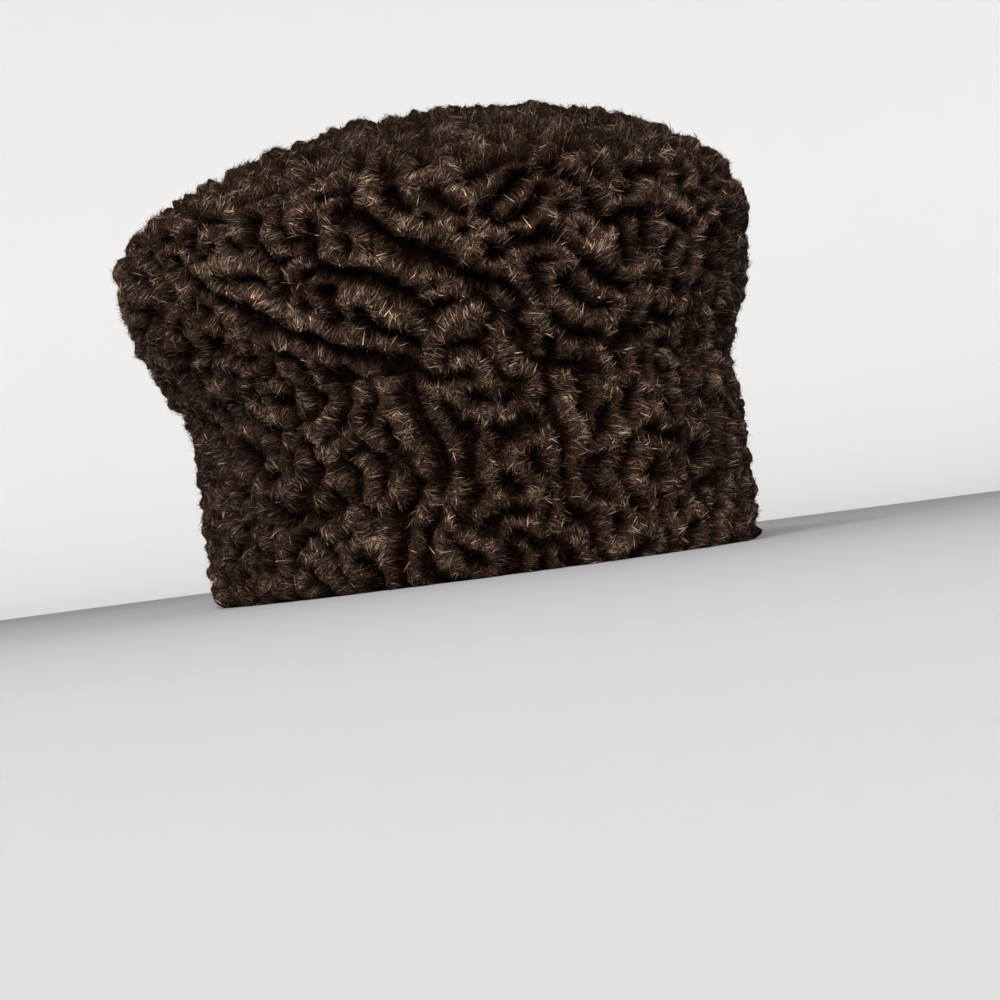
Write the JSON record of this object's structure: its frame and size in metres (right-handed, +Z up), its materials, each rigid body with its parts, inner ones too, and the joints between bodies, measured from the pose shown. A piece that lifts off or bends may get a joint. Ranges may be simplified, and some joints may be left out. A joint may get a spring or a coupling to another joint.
{
  "type": "karakul fur cap",
  "caption": "Brimless curly lambskin cap with a straight oval band and a flared crown with a softly domed top.",
  "frame": {"origin": "middle of the cap's footprint, on the surface that its rim rests on", "axes": "+Z up through the crown, -Y towards the front, +X to the viewer's right seen from the front"},
  "size_m": [0.2078, 0.2232, 0.1482],
  "materials": {
    "karakul_fleece": "tightly curled lamb fleece, dark brown with a soft sheen on the crests"
  },
  "bodies": {
    "root": {"fur_band": "karakul_fleece", "fur_crown": "karakul_fleece"}
  },
  "joints": []
}
